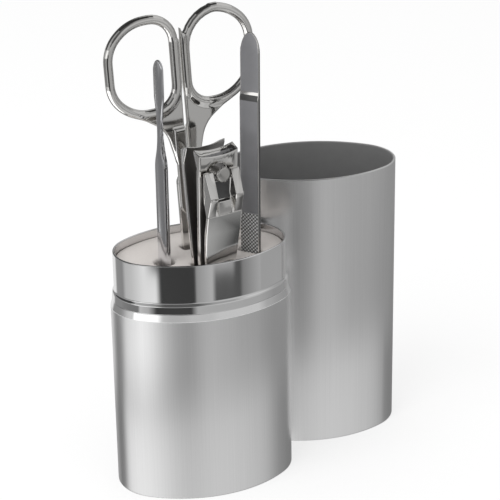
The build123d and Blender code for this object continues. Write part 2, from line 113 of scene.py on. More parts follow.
# Across, up and corner radius, from the web down the inner edge, round the point and up the back.
BLADE_OUTLINE = (
    (NECK_HALF, WEB_HOLLOW[1], 0), (NECK_HALF, 11, 3), (BLADE_OVERLAP, 9, 3),
    (BLADE_POINT, BLADE_POINT - BLADE_TIP, 0), (-BLADE_POINT, BLADE_POINT - BLADE_TIP, 0.2),
    (-2.2, -9, 30), (-BLADE_HALF, 0, 6), (-NECK_HALF, 21, 3), (WEB_GAP / 2, 21.5, 3),
    (WEB_GAP / 2, WEB_HOLLOW[1], 0),
)
BLADE_FILLET = 1.0  # between web and blade
RING_FILLET = 0.9  # between ring and web
FIELD_STEP = 0.27  # of the grid that a half is drawn on
FIELD_ROOM = 0.5  # between the half and the grid's sides
FIELD_DEPTH_ROOM = 0.8  # the same at the front and back
FIELD_PULLS = 5  # how often a point is drawn on to the surface
FIELD_LEAST_SLOPE = 0.2  # squared, so that flat spots don't throw a point far off

# --------------------------------------------------------------------- camera
CAMERA_PLACE = (-0.142575, -0.433485, 0.247098)
CAMERA_HEADING = 19.895  # degrees from +Y towards +X
CAMERA_DIP = 21.685
CAMERA_ROLL = -0.934
CAMERA_LENS = 131.6
CAMERA_SENSOR = 36
CAMERA_NEAR = 0.01


def add_camera():
    data = bpy.data.cameras.new("camera")
    data.lens = CAMERA_LENS
    data.sensor_width = CAMERA_SENSOR
    data.sensor_fit = "HORIZONTAL"
    data.clip_start = CAMERA_NEAR
    camera = bpy.data.objects.new("camera", data)
    turn = Matrix.Rotation(radians(-CAMERA_HEADING), 4, "Z")
    dip = Matrix.Rotation(radians(90 - CAMERA_DIP), 4, "X")
    roll = Matrix.Rotation(radians(CAMERA_ROLL), 4, "Z")
    camera.matrix_world = Matrix.Translation(CAMERA_PLACE) @ turn @ dip @ roll
    scene.collection.objects.link(camera)
    scene.camera = camera


# ---------------------------------------------------------------- node helpers
def add_node(tree, kind, inputs=None, **settings):
    """A shader node. inputs maps socket names or numbers to a value or to another node's output."""
    made = tree.nodes.new("ShaderNode" + kind)
    for key, value in settings.items():
        setattr(made, key, value)
    for key, value in (inputs or {}).items():
        if isinstance(value, bpy.types.NodeSocket):
            tree.links.new(value, made.inputs[key])
        else:
            made.inputs[key].default_value = value
    return made


def maths(tree, operation, first, second):
    return add_node(tree, "Math", {0: first, 1: second}, operation=operation).outputs[0]


def carried(tree, value, start, end, low=0.0, high=1.0):
    """A value between start and end, carried over to between low and high."""
    sockets = {"Value": value, "From Min": start, "From Max": end, "To Min": low, "To Max": high}
    return add_node(tree, "MapRange", sockets).outputs[0]


def mixed(tree, share, low, high):
    """A colour between low and high, by a share."""
    return add_node(tree, "Mix", {0: share, 6: low, 7: high}, data_type="RGBA").outputs[2]


def chosen_shader(tree, share, one, other):
    """The first of two shaders at a share of 0, the other at 1."""
    return add_node(tree, "MixShader", {0: share, 1: one, 2: other}).outputs[0]


def object_place(tree):
    return add_node(tree, "TexCoord").outputs["Object"]


def noise(tree, scale, detail):
    """Noise with so many repeats per metre along each axis."""
    place = add_node(tree, "Mapping", {"Vector": object_place(tree), "Scale": scale}).outputs[0]
    return add_node(tree, "TexNoise", {"Vector": place, "Scale": 1.0, "Detail": detail}).outputs[0]


def bump(tree, shader, height, strength, distance):
    """Relief on a shader, with its distance in metres."""
    made = add_node(tree, "Bump", {"Height": height, "Strength": strength, "Distance": distance})
    tree.links.new(made.outputs[0], shader.inputs["Normal"])


def ramp(tree, value, stops):
    """A colour ramp through (place, grey level) stops."""
    made = add_node(tree, "ValToRGB", {0: value})
    elements = made.color_ramp.elements
    elements[0].position, elements[1].position = stops[0][0], stops[-1][0]
    for place, _ in stops[1:-1]:
        elements.new(place)
    for element, (_, level) in zip(elements, stops):
        element.color = (level, level, level, 1)
    return made.outputs["Color"]


def new_material(name):
    """A material with an empty Principled shader: (material, tree, shader)."""
    made = bpy.data.materials.new(name)
    made.use_nodes = True
    tree = made.node_tree
    tree.nodes.clear()
    shader = add_node(tree, "BsdfPrincipled")
    add_node(tree, "OutputMaterial", {"Surface": shader.outputs[0]})
    return made, tree, shader


# ------------------------------------------------------------------- surround
# What the metal mirrors: rows of pale boards and dark flags, one above the other. A row is its lower
# edge, how soft that is, in degrees, and its boards as (from, to, level there, level there) by bearing.
TABLE_ROW = (
    (-180, -142, 0.88, 0.88), (-126, -124, 0.7, 0.67), (-110, -100, 0.54, 0.54), (-90, -60, 0.64, 0.62),
    (-46, -44, 0.58, 0.57), (-32, -20, 0.55, 0.5), (-10, 45, 0.22, 0.2), (70, 108, 0.4, 0.4),
    (118, 142, 0.14, 0.14), (153, 180, 0.82, 0.88),
)
ROWS = (
    (-90, 0, (
        (-180, -142, 1.7, 1.7), (-126, -124, 1.15, 1.1), (-112, -100, 0.5, 0.48), (-90, -62, 0.58, 0.6),
        (-48, -46, 0.47, 0.46), (-36, -35, 0.34, 0.34), (-20, 45, 0.1, 0.12), (70, 108, 0.4, 0.4),
        (118, 147, 0.05, 0.05), (157, 180, 1.5, 1.7),
    )),
    (-26, 0.7, (
        (-180, -134, 0.56, 0.84), (-129, -96, 0.05, 0.045), (-94, -79, 0.3, 0.46),
        (-75, -49.5, 0.09, 0.085), (-46, -25, 0.22, 0.4), (-24, 15, 0.36, 0.36), (22, 45, 0.22, 0.24),
        (50, 70, 0.33, 0.3), (86, 110, 0.8, 0.8), (120, 148, 0.28, 0.26), (160, 180, 0.5, 0.56),
    )),
    (-22.3, 0.15, (
        (-180, -145, 0.56, 0.8), (-134, -96, 0.05, 0.045), (-94, -79, 0.3, 0.46), (-62, -58, 0.4, 0.4),
        (-54, -49.5, 0.09, 0.085), (-46, -25, 0.22, 0.4), (-24, 15, 0.36, 0.36), (22, 45, 0.22, 0.24),
        (50, 70, 0.33, 0.3), (86, 110, 0.8, 0.8), (120, 148, 0.28, 0.26), (160, 180, 0.5, 0.56),
    )),
    (-21.3, 0.5, (
        (-180, -160, 0.19, 0.19), (-154, -141, 0.55, 0.45), (-133, -100, 0.05, 0.05),
        (-94, -30, 0.42, 0.4), (-10, 60, 0.3, 0.3), (86, 110, 0.8, 0.8), (120, 150, 0.25, 0.25),
        (158, 180, 0.22, 0.19),
    )),
    (-3, 3, (
        (-180, -172, 0.6, 0.62), (-167, -132, 1.2, 1.15), (-127, -126, 0.55, 0.52),
        (-119, -108, 0.44, 0.44), (-100, -83, 0.5, 0.5), (-74, -34, 0.56, 0.56), (-24, 0, 0.4, 0.34),
        (10, 60, 0.3, 0.3), (90, 150, 0.25, 0.3), (168, 180, 0.5, 0.6),
    )),
    (12, 2, (
        (-180, -135, 0.5, 0.45), (-128, -98, 0.07, 0.07), (-85, -30, 0.5, 0.52), (0, 60, 0.35, 0.45),
        (85, 165, 0.06, 0.06),
    )),
    (31, 3, (
        (-180, -150, 0.4, 0.4), (-130, -90, 0.1, 0.1), (-70, -48, 0.35, 0.35), (-32, 60, 0.62, 0.55),
        (95, 165, 0.06, 0.06),
    )),
    (57, 1.5, ((-180, 180, 0.03, 0.03),)),
)
TABLE_REACH = (0.055, 0.09)  # metres from metal to floor over which the mirrored table fades out
WHITE = (1, 1, 1, 1)
ROOM_LIGHT = 0.75
PAPER_TONE = (0.9, 0.9, 0.9, 1)
PAPER_GLOW = 1.12
PAPER_GLOW_SHARE = 0.6  # of what the camera sees of the paper, so that only soft shadows stay
FLOOR_HALF = 1.5


def bearing_ramp(tree, x, y, row):
    """Grey level of a row of boards and flags by the bearing of x and y."""
    share = carried(tree, maths(tree, "ARCTAN2", y, x), -pi, pi)
    stops = []
    for start, end, first, last in row:
        stops += [((start + 180) / 360, first), ((end + 180) / 360, last)]
    return ramp(tree, share, stops)


def add_world():
    """White to the camera, even light on the set, and the rows in the metal."""
    world = bpy.data.worlds.new("studio")
    scene.world = world
    world.use_nodes = True
    tree = world.node_tree
    tree.nodes.clear()
    way = add_node(tree, "SeparateXYZ", {0: add_node(tree, "TexCoord").outputs["Generated"]}).outputs
    rise = add_node(tree, "Math", {0: way["Z"]}, operation="ARCSINE").outputs[0]
    studio = bearing_ramp(tree, way["X"], way["Y"], ROWS[0][2])
    for edge, soft, row in ROWS[1:]:
        level = bearing_ramp(tree, way["X"], way["Y"], row)
        share = carried(tree, rise, radians(edge - soft), radians(edge + soft))
        studio = mixed(tree, share, studio, level)
    path = add_node(tree, "LightPath").outputs
    white = add_node(tree, "Background", {"Color": WHITE, "Strength": 1.0}).outputs[0]
    room = add_node(tree, "Background", {"Color": WHITE, "Strength": ROOM_LIGHT}).outputs[0]
    mirrored = add_node(tree, "Background", {"Color": studio, "Strength": 1.0}).outputs[0]
    plain = chosen_shader(tree, path["Is Camera Ray"], room, white)
    final = chosen_shader(tree, path["Is Glossy Ray"], plain, mirrored)
    add_node(tree, "OutputWorld", {"Surface": final})


def add_floor():
    """White paper that keeps the shadow. In the metal it is a pale table that ends a short way off."""
    mesh = bpy.data.meshes.new("floor")
    corners = [(x * FLOOR_HALF, y * FLOOR_HALF, 0) for x, y in ((-1, -1), (1, -1), (1, 1), (-1, 1))]
    mesh.from_pydata(corners, [], [(0, 1, 2, 3)])
    floor = bpy.data.objects.new("floor", mesh)
    scene.collection.objects.link(floor)
    made = bpy.data.materials.new("floor_paper")
    made.use_nodes = True
    tree = made.node_tree
    tree.nodes.clear()
    path = add_node(tree, "LightPath").outputs
    paper = add_node(tree, "BsdfDiffuse", {"Color": PAPER_TONE}).outputs[0]
    white = add_node(tree, "Emission", {"Color": WHITE, "Strength": PAPER_GLOW}).outputs[0]
    seen = chosen_shader(tree, PAPER_GLOW_SHARE, paper, white)
    sheet = chosen_shader(tree, path["Is Camera Ray"], paper, seen)
    back = add_node(tree, "SeparateXYZ", {0: add_node(tree, "NewGeometry").outputs["Incoming"]}).outputs
    level = bearing_ramp(tree, *(maths(tree, "MULTIPLY", back[axis], -1) for axis in "XY"), TABLE_ROW)
    table = add_node(tree, "Emission", {"Color": level, "Strength": 1.0}).outputs[0]
    clear = add_node(tree, "BsdfTransparent").outputs[0]
    mirrored = chosen_shader(tree, carried(tree, path["Ray Length"], *TABLE_REACH), table, clear)
    final = chosen_shader(tree, path["Is Glossy Ray"], sheet, mirrored)
    add_node(tree, "OutputMaterial", {"Surface": final})
    mesh.materials.append(made)


LAMP_PLACE = (-0.55, -0.35, 0.75)
LAMP_AIM = (0, 0, 0.06)
LAMP_SIZE = 0.7
LAMP_POWER = 4.0


def add_lamp():
    """A soft square lamp from the upper left, which the metal doesn't mirror."""
    data = bpy.data.lights.new("key_lamp", "AREA")
    data.size = LAMP_SIZE
    data.energy = LAMP_POWER
    lamp = bpy.data.objects.new("key_lamp", data)
    lamp.location = LAMP_PLACE
    aim = Vector(LAMP_AIM) - lamp.location
    lamp.rotation_euler = aim.to_track_quat("-Z", "Y").to_euler()
    lamp.visible_glossy = False
    scene.collection.objects.link(lamp)


# ------------------------------------------------------------------ materials
# Marks on the surfaces, in repeats per metre along each axis, and the detail of their noise.
STREAKS = ((5000, 5000, 25), 3.0)
SHEEN = ((60, 60, 30), 2.0)
WIPES = ((220, 220, 60), 4.0)
CLOUDS = ((400, 400, 400), 3.0)
GRAIN = ((2500, 2500, 2500), 3.0)

SATIN_TONES = ((0.25, 0.87), (0.75, 0.93))
STREAK_ROUGHNESS = (0.29, 0.35)
SHEEN_ROUGHNESS = (-0.03, 0.03)  # added to that of the streaks
STREAK_RELIEF = (0.05, 0.00004)
WIPE_TONES = (0.96, 1)  # times the tone, and so on
WIPE_ROUGHNESS = (0.7, 1.3)
CLOUD_TONES = (0.93, 1.07)
CLOUD_ROUGHNESS = (0.85, 1.15)
DULL_METALLIC = 0.35
CREAM_TONES = ((0.69, 0.65, 0.62, 1), (0.76, 0.72, 0.69, 1))
CREAM_ROUGHNESS = 0.5
GRAIN_RELIEF = (0.12, 0.00005)


def satin_metal():
    """Aluminium brushed up and down: fine streaks under faint clouds of sheen."""
    made, tree, shader = new_material("satin_metal")
    streak = noise(tree, *STREAKS)
    cloud = noise(tree, *SHEEN)
    tree.links.new(ramp(tree, streak, SATIN_TONES), shader.inputs["Base Color"])
    rough = carried(tree, streak, 0, 1, *STREAK_ROUGHNESS)
    soft = carried(tree, cloud, 0, 1, *SHEEN_ROUGHNESS)
    tree.links.new(maths(tree, "ADD", rough, soft), shader.inputs["Roughness"])
    bump(tree, shader, streak, *STREAK_RELIEF)
    shader.inputs["Metallic"].default_value = 1.0
    return made


def marked(tree, shader, marks, tone, tones, roughness, roughs):
    """Gives a shader a roughness that goes with marks on it, and returns a colour that does so too."""
    rough = carried(tree, marks, 0, 1, *(roughness * share for share in roughs))
    tree.links.new(rough, shader.inputs["Roughness"])
    low, high = (tuple(channel * share for channel in tone) + (1,) for share in tones)
    return mixed(tree, marks, low, high)


def polished(name, tone, roughness):
    """Polished metal with faint wipe marks."""
    made, tree, shader = new_material(name)
    colour = marked(tree, shader, noise(tree, *WIPES), tone, WIPE_TONES, roughness, WIPE_ROUGHNESS)
    tree.links.new(colour, shader.inputs["Base Color"])
    shader.inputs["Metallic"].default_value = 1.0
    return made


CUT_PITCH = 0.74
CUT_HEIGHT = 76.6  # the file is smooth above this
CUT_END = 0.1  # how softly its cuts end there
CUT_DEPTH = 0.0003  # metres
CUT_SHADE_AND_HIGHLIGHT = ((0.15, 0.07), (0.5, 0.3), (0.8, 0.8))  # from the bottom of a cut to the top of a tooth: painted shade in the cuts, painted highlight on the teeth


def crossed_cuts(tree, up, across):
    """How far a place stands out among crossed file cuts, and 1 below the end of the cuts or 0 above."""
    place = object_place(tree)
    ridges = []
    for lean in (1, -1):
        way = (up + across * lean).normalized()
        run = add_node(tree, "VectorMath", {0: place, 1: way}, operation="DOT_PRODUCT").outputs["Value"]
        ridges.append(maths(tree, "PINGPONG", maths(tree, "MULTIPLY", run, 1 / (CUT_PITCH * MM)), 0.5))
    rise = add_node(tree, "SeparateXYZ", {0: place}).outputs["Z"]
    below = carried(tree, rise, (CUT_HEIGHT - CUT_END) * MM, (CUT_HEIGHT + CUT_END) * MM, 1, 0)
    return maths(tree, "ADD", *ridges), below


def dull_metal(name, tone, roughness, cuts=None):
    """Dull, faintly clouded metal. cuts is (up, across) of a face with file cuts at its lower end,
    coloured dark in the cuts as painted shade and light on the teeth as painted highlight.
    """
    made, tree, shader = new_material(name)
    colour = marked(tree, shader, noise(tree, *CLOUDS), tone, CLOUD_TONES, roughness, CLOUD_ROUGHNESS)
    if cuts:
        ridges, below = crossed_cuts(tree, *cuts)
        # the cuts' colours: painted shade at their bottoms, painted highlight on the teeth
        colour = mixed(tree, below, colour, ramp(tree, ridges, CUT_SHADE_AND_HIGHLIGHT))
        bump(tree, shader, maths(tree, "MULTIPLY", ridges, below), 1.0, CUT_DEPTH)
    tree.links.new(colour, shader.inputs["Base Color"])
    shader.inputs["Metallic"].default_value = DULL_METALLIC
    return made


def cream_plastic():
    """Moulded plastic with a fine even grain."""
    made, tree, shader = new_material("cream_plastic")
    grain = noise(tree, *GRAIN)
    tree.links.new(mixed(tree, grain, *CREAM_TONES), shader.inputs["Base Color"])
    bump(tree, shader, grain, *GRAIN_RELIEF)
    shader.inputs["Roughness"].default_value = CREAM_ROUGHNESS
    return made


# --------------------------------------------------------------- mesh helpers
def rounded(corners, radii, steps=8, closed=True, rest=0.05):
    """Points of an outline with rounded corners, and with a point just outside each arc's two ends."""
    points = []
    count = len(corners)
    for i, (corner, radius) in enumerate(zip(corners, radii)):
        if not radius or (not closed and i in (0, count - 1)):
            points.append(tuple(corner))
            continue
        here = np.array(corner, float)
        back = np.array(corners[i - 1], float) - here
        ahead = np.array(corners[(i + 1) % count], float) - here
        back /= hypot(*back)
        ahead /= hypot(*ahead)
        half = 0.5 * np.arccos(np.clip(back @ ahead, -1, 1))
        reach = radius / tan(half)
        middle = here + (back + ahead) / hypot(*(back + ahead)) * radius / sin(half)
        first, last = here + back * reach - middle, here + ahead * reach - middle
        start = atan2(first[1], first[0])
        swing = (atan2(last[1], last[0]) - start + pi) % (2 * pi) - pi
        points.append(tuple(here + back * (reach + rest)))
        for k in range(steps + 1):
            angle = start + swing * k / steps
            points.append((middle[0] + radius * cos(angle), middle[1] + radius * sin(angle)))
        points.append(tuple(here + ahead * (reach + rest)))
    return points


def new_piece(name, vertices, faces, body, slot, material, *nodes):
    """A mesh piece in metres that rides on a body and stands for CAD nodes."""
    mesh = bpy.data.meshes.new(name)
    mesh.from_pydata([tuple(v) for v in vertices], [], faces)
    mesh.validate()
    mesh.shade_smooth()
    mesh.materials.append(material)
    piece = bpy.data.objects.new(name, mesh)
    scene.collection.objects.link(piece)
    return settle(piece, body, slot, *nodes)


def paint(piece, material, chosen):
    """Give the faces for which chosen(face) holds a material of their own."""
    mesh = piece.data
    mesh.materials.append(material)
    for face in mesh.polygons:
        if chosen(face):
            face.material_index = len(mesh.materials) - 1


def settle(piece, body, slot, *nodes):
    """Tie a piece to its body and hide the CAD nodes that it stands for."""
    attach(piece, body)
    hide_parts(*nodes)
    return piece


ARC_STEPS = 60


def oval(inset):
    """Outline of the case round its middle, moved inwards by inset: two tight and two wide arcs."""
    end_centre = CASE_LENGTH / 2 - END_RADIUS
    side_radius = (end_centre**2 + (CASE_DEPTH / 2) ** 2 - END_RADIUS**2) / (CASE_DEPTH - 2 * END_RADIUS)
    side_centre = side_radius - CASE_DEPTH / 2
    join = atan2(side_centre, end_centre)
    arcs = (
        (end_centre, 0, END_RADIUS, -join, 2 * join),
        (0, -side_centre, side_radius, join, pi - 2 * join),
        (-end_centre, 0, END_RADIUS, pi - join, 2 * join),
        (0, side_centre, side_radius, pi + join, pi - 2 * join),
    )
    points = []
    for x, y, radius, start, swing in arcs:
        for k in range(ARC_STEPS):
            angle = start + swing * k / ARC_STEPS
            points.append((x + (radius - inset) * cos(angle), y + (radius - inset) * sin(angle)))
    return points


def oval_shell(profile, place=(0, 0), turn=0.0, closed=False):
    """Vertices and faces of a shell: an oval ring for each (inset, height), with lids on open ends."""
    vertices, faces = [], []
    for inset, height in profile:
        for x, y in oval(inset):
            along = place[0] + x * cos(turn) - y * sin(turn)
            away = place[1] + x * sin(turn) + y * cos(turn)
            vertices.append((along * MM, away * MM, height * MM))
    count = 4 * ARC_STEPS
    rows = len(profile)
    for row in range(rows if closed else rows - 1):
        low, high = row * count, (row + 1) % rows * count
        for k in range(count):
            ahead = (k + 1) % count
            faces.append((low + k, low + ahead, high + ahead, high + k))
    if not closed:
        faces.append(tuple(reversed(range(count))))
        faces.append(tuple(range((rows - 1) * count, rows * count)))
    return vertices, faces


# ----------------------------------------------------------------------- case
SHARP = 24  # an edge that turns by more than this, in degrees, is rounded off
LID_INSET = 6.0  # where the flat lids of the floors begin
FOOT_RADIUS = 0.5
LIP_RADII = (0.25, 0.2)  # at the lip's foot and its top
RIM_RADIUS = 0.25
CORNER_RADIUS = 0.8  # inside, where wall and floor meet
SEAT_RADIUS = 0.05  # where the bead begins
BEAD_RADIUS = 0.8
NECK_RIM_RADIUS = 0.28
SLIGHT_RADIUS = 0.1
RIM_SHINE = 0.2  # the collar's rim stays polished this far down its inside


def add_base(material, lip, edge):
    """The base, with a turned and polished lip round its mouth and a painted highlight line below it."""
    rim = CASE_HIGH.z
    corners = (
        (LID_INSET, 0), (0, 0), (0, rim - LIP_HEIGHT), (LIP_SLOPE, rim), (BASE_WALL, rim),
        (BASE_WALL, BASE_FLOOR), (LID_INSET, BASE_FLOOR),
    )
    radii = (0, FOOT_RADIUS, *LIP_RADII, SLIGHT_RADIUS, CORNER_RADIUS, 0)
    profile = rounded(corners, radii, closed=False, rest=0.03)
    piece = new_piece("base_body", *oval_shell(profile), "case", "case_metal", material, "base_shell")
    paint(piece, lip, lambda face: face.center.z > (rim - LIP_HEIGHT) * MM)
    # the band at the lip's foot is painted bright: a painted highlight line
    paint(piece, edge, lambda face: abs(face.center.z / MM - rim + LIP_HEIGHT) < LIP_HIGHLIGHT_HALF)


def add_neck(material, inside):
    """The polished collar with its bead, duller inside."""
    foot, rim, seat = NECK_LOW.z, NECK_HIGH.z, CASE_HIGH.z
    inner = NECK_INSET + NECK_WALL
    bead = seat + BEAD_HEIGHT
    corners = (
        (NECK_INSET, foot), (NECK_INSET, seat), (BEAD_INSET + BEAD_FOOT, seat),
        (BEAD_INSET + BEAD_SLOPE, bead - BEAD_SHOULDER), (NECK_INSET, bead + FLARE_RISE),
        (NECK_INSET, rim), (inner, rim), (inner, foot),
    )
    radii = (
        SLIGHT_RADIUS, SEAT_RADIUS, SLIGHT_RADIUS, BEAD_RADIUS, BEAD_RADIUS, NECK_RIM_RADIUS,
        NECK_RIM_RADIUS, SLIGHT_RADIUS,
    )
    profile = rounded(corners, radii, steps=12, rest=0.02)
    shell = oval_shell(profile, closed=True)
    piece = new_piece("neck_collar", *shell, "case", "polished_sleeve", material, "neck_sleeve")
    below = (rim - RIM_SHINE) * MM
    paint(piece, inside, lambda face: face.center.xy.dot(face.normal.xy) < 0 and face.center.z < below)


def add_cap(material, inside):
    """The cap beside the base, closed end down, with its inside in a duller, darker metal as painted shade
    of its hollow.
    """
    place = ((CAP_LOW.x + CAP_HIGH.x) / 2, (CAP_LOW.y + CAP_HIGH.y) / 2)
    rim = CAP_HIGH.z
    corners = (
        (LID_INSET, 0), (0, 0), (0, rim), (CAP_WALL, rim), (CAP_WALL, CAP_FLOOR), (LID_INSET, CAP_FLOOR),
    )
    radii = (0, FOOT_RADIUS, RIM_RADIUS, RIM_RADIUS, CORNER_RADIUS, 0)
    profile = rounded(corners, radii, closed=False, rest=0.03)
    shell = oval_shell(profile, place, radians(CAP_TURN))
    piece = new_piece("cap_body", *shell, "cap", "case_metal", material, "cap_shell")
    middle = Vector(place) * MM

    def looks_in(face):
        on_floor = face.normal.z > 0 and face.center.z < rim / 2 * MM
        return on_floor or (face.center.xy - middle).dot(face.normal.xy) < 0

    # the cap's inside faces are painted dark: painted shade of the hollow
    paint(piece, inside, looks_in)


# -------------------------------------------------------------- bevelled tools
SAME_POINT = 1e-6
FLAT = 0.5  # facets that differ by less than this, in degrees, are one face
ACROSS = 0.1  # the most that a normal may lean along a tool's length for its face to count as a side
FACING = 0.94  # the least cosine between an axis and the normal of a face that looks along it
LEANING = 0.9  # the same where faces that lean a little count too
EDGE_ON = 0.3  # the most for a face that stands edge-on

# Heights above the deck, of the lever's plate up to the fifth and of its ears from there on. Each is
# pushed forwards by so many millimetres, and made so many times as wide.
LEVER_HEIGHTS = (0.3, 1.2, 5.0, 10.0, 15.2, 19.2, 20.5)
LEVER_PUSH = (0.0, 0.6, 0.9, 1.4, 2.0, 0.5, 0.0)
LEVER_WIDEN = (1.0, 1.08, 1.12, 1.12, 1.07, 1.02, 1.0)
WINDOW_HALF = 2.9  # half the width of the window between the ears
LEVER_PAINTED_SHADE = 91.6  # below this the front arm's front faces are painted dark as painted shade from the lever
STEP_TOP = 110.1  # the top of the step in the file's face
STEP_PAINTED_SHADE = (107.7, 109.3)  # and the band under it, painted dark as painted shade


def dressed(node, name, body, slot, material, width, segments=3, reshape=None):
    """A copy of a CAD node with its flat facets joined and its hard edges rounded off."""
    mesh = frame["nodes"][node].data.copy()
    mesh.name = name
    shape = bmesh.new()
    shape.from_mesh(mesh)
    bmesh.ops.remove_doubles(shape, verts=shape.verts, dist=SAME_POINT)
    bmesh.ops.dissolve_limit(shape, angle_limit=radians(FLAT), verts=shape.verts, edges=shape.edges)
    if reshape:
        reshape(shape)
    shape.to_mesh(mesh)
    shape.free()
    mesh.shade_smooth()
    mesh.materials.clear()
    mesh.materials.append(material)
    piece = bpy.data.objects.new(name, mesh)
    scene.collection.objects.link(piece)
    bevel = piece.modifiers.new("edges", "BEVEL")
    bevel.width = width * MM
    bevel.segments = segments
    bevel.limit_method = "ANGLE"
    bevel.angle_limit = radians(SHARP)
    bevel.use_clamp_overlap = False
    bevel.harden_normals = True
    bevel.material = 0
    return settle(piece, body, slot, node)


def plate_axes(node, lift):
    """A flat tool's up, across and front: the front is the way its largest faces look."""
    up = Vector(joints[lift]["axis"]).normalized()
    mesh = frame["nodes"][node].data
    largest = max(mesh.polygons, key=lambda face: face.area if abs(face.normal.dot(up)) < ACROSS else 0)
    front = largest.normal.copy()
    return up, up.cross(front).normalized(), front


def cut_levels(shape, *heights):
    """New edges all round a mesh at some heights."""
    for height in heights:
        parts = shape.verts[:] + shape.edges[:] + shape.faces[:]
        bmesh.ops.bisect_plane(shape, geom=parts, plane_co=(0, 0, height * MM), plane_no=(0, 0, 1))


def broaden_lever(shape):
    """The lever's plate stands out from the arm, and stays wide down to the rim."""
    cut_levels(shape, *(DECK_HEIGHT + height for height in LEVER_HEIGHTS))
    bmesh.ops.triangulate(shape, faces=shape.faces)
    for vertex in shape.verts:
        height = vertex.co.z / MM - DECK_HEIGHT
        side = (vertex.co - lever_middle).dot(clipper_across)
        vertex.co += clipper_front * float(np.interp(height, LEVER_HEIGHTS, LEVER_PUSH)) * MM
        vertex.co += clipper_across * side * (float(np.interp(height, LEVER_HEIGHTS, LEVER_WIDEN)) - 1)


# ------------------------------------------------------------------- scissors
def outline_distance(u, h, points):
    """Signed distance to a closed outline, less than zero inside."""
    near = np.full(np.broadcast(u, h).shape, np.inf)
    inside = np.zeros(near.shape, bool)
    for (u0, h0), (u1, h1) in zip(points, points[1:] + points[:1]):
        du, dh = u1 - u0, h1 - h0
        along = np.clip(((u - u0) * du + (h - h0) * dh) / (du * du + dh * dh), 0, 1)
        near = np.minimum(near, (u - u0 - along * du) ** 2 + (h - h0 - along * dh) ** 2)
        if dh:
            inside ^= ((h0 > h) != (h1 > h)) & (u < u0 + (h - h0) / dh * du)
    near = np.sqrt(near)
    return np.where(inside, -near, near)


def plate(u, w, h, points, middle, thickness, edge):
    """A flat plate with rounded edges."""
    side = outline_distance(u, h, points) + edge
    face = np.abs(w - middle) - thickness / 2 + edge
    outside = np.hypot(np.maximum(side, 0), np.maximum(face, 0))
    return np.minimum(np.maximum(side, face), 0) + outside - edge


def melt(a, b, blend):
    """Two distances joined with a fillet."""
    mix = np.maximum(blend - np.abs(a - b), 0) / blend
    return np.minimum(a, b) - mix * mix * blend / 4


def scissor_field(side, layer):
    """Distance to one half of the scissors, closed, in (across, front, up) from its foot on the deck."""
    left = RING_GAP / 2 + RING_WIRE / 2
    right = left + RING_WIDTH
    top = RING_START + RING_LENGTH
    cut_u, cut_h = RING_CUT
    wire = rounded(
        (
            (left, top), (right - cut_u, top), (right, top - cut_h), (right, RING_START + cut_h),
            (right - cut_u, RING_START), (left, RING_START),
        ),
        (
            RING_CORNER if side > 0 else SPIKE_CORNER, RING_END_RADIUS, RING_SIDE_RADIUS,
            RING_SIDE_RADIUS, RING_END_RADIUS, RING_CORNER,
        ),
    )
    point = top - RING_CORNER if side > 0 else SPIKE_HEIGHT
    web = rounded(
        (
            (WEB_GAP / 2, WEB_FOOT), (RING_GAP / 2, point), (left, top - RING_CORNER), (left, RING_START),
            (right - cut_u, RING_START), WEB_HOLLOW, (NECK_HALF, WEB_FOOT),
        ),
        (0, 0, 0, RING_CORNER, 0, WEB_HOLLOW_RADIUS, 0),
    )
    blade = rounded([spot[:2] for spot in BLADE_OUTLINE], [spot[2] for spot in BLADE_OUTLINE])
    middle = layer * (BLADE_GAP + BLADE_THICKNESS) / 2

    def field(u, w, h):
        u = u * side
        ring = np.hypot(np.abs(outline_distance(u, h, wire)), w) - RING_WIRE / 2
        flat = plate(u, w, h, web, 0, WEB_THICKNESS, WEB_EDGE)
        edged = plate(u, w, h, blade, middle, BLADE_THICKNESS, BLADE_EDGE)
        whole = melt(ring, melt(flat, edged, BLADE_FILLET), RING_FILLET)
        if side > 0:
            return whole
        along = np.clip(h, WEB_HOLLOW[1], SPIKE_HEIGHT)
        spread = (u - GROOVE[0]) ** 2 + (np.abs(w) - RING_WIRE / 2) ** 2 + (h - along) ** 2
        return np.maximum(whole, GROOVE[1] - np.sqrt(spread))

    return field


def field_mesh(field, low, high, step):
    """Surface of a distance field: a vertex for each crossed cell and a quad for each crossed edge."""
    axes = [np.arange(a, b + step, step) for a, b in zip(low, high)]
    u, w, h = (axes[0][:, None, None], axes[1][None, :, None], axes[2][None, None, :])
    inside = field(u, w, h) < 0
    shape = tuple(n - 1 for n in inside.shape)
    count = np.zeros(shape, np.uint8)
    for i in (0, 1):
        for j in (0, 1):
            for k in (0, 1):
                count += inside[i : i + shape[0], j : j + shape[1], k : k + shape[2]]
    crossed = (count > 0) & (count < 8)
    number = np.full(shape, -1)
    number[crossed] = np.arange(crossed.sum())
    points = (np.argwhere(crossed) + 0.5) * step + np.array([axis[0] for axis in axes])
    for _ in range(FIELD_PULLS):
        slope, value = gradient(field, points)
        points -= slope * (value / np.maximum((slope**2).sum(1), FIELD_LEAST_SLOPE))[:, None]
    faces = []
    for axis in range(3):
        ahead = np.roll(inside, -1, axis)
        change = inside != ahead
        one, two = (axis + 1) % 3, (axis + 2) % 3
        spots = np.argwhere(change)
        keep = (spots[:, axis] < shape[axis]) & (spots[:, one] > 0) & (spots[:, two] > 0)
        keep &= (spots[:, one] < shape[one]) & (spots[:, two] < shape[two])
        spots = spots[keep]
        out = inside[tuple(spots.T)]
        offsets = np.zeros((4, 3), int)
        offsets[:, one] = (-1, 0, 0, -1)
        offsets[:, two] = (-1, -1, 0, 0)
        quads = np.stack([number[tuple((spots + offset).T)] for offset in offsets], 1)
        quads[~out] = quads[~out][:, ::-1]
        faces.append(quads)
    normals = gradient(field, points)[0]
    return points, np.concatenate(faces), normals


def gradient(field, points, nudge=0.01):
    """Slope and value of a field at points."""
    value = field(*points.T)
    slope = []
    for axis in range(3):
        moved = points.copy()
        moved[:, axis] += nudge
        slope.append((field(*moved.T) - value) / nudge)
    return np.stack(slope, 1), value


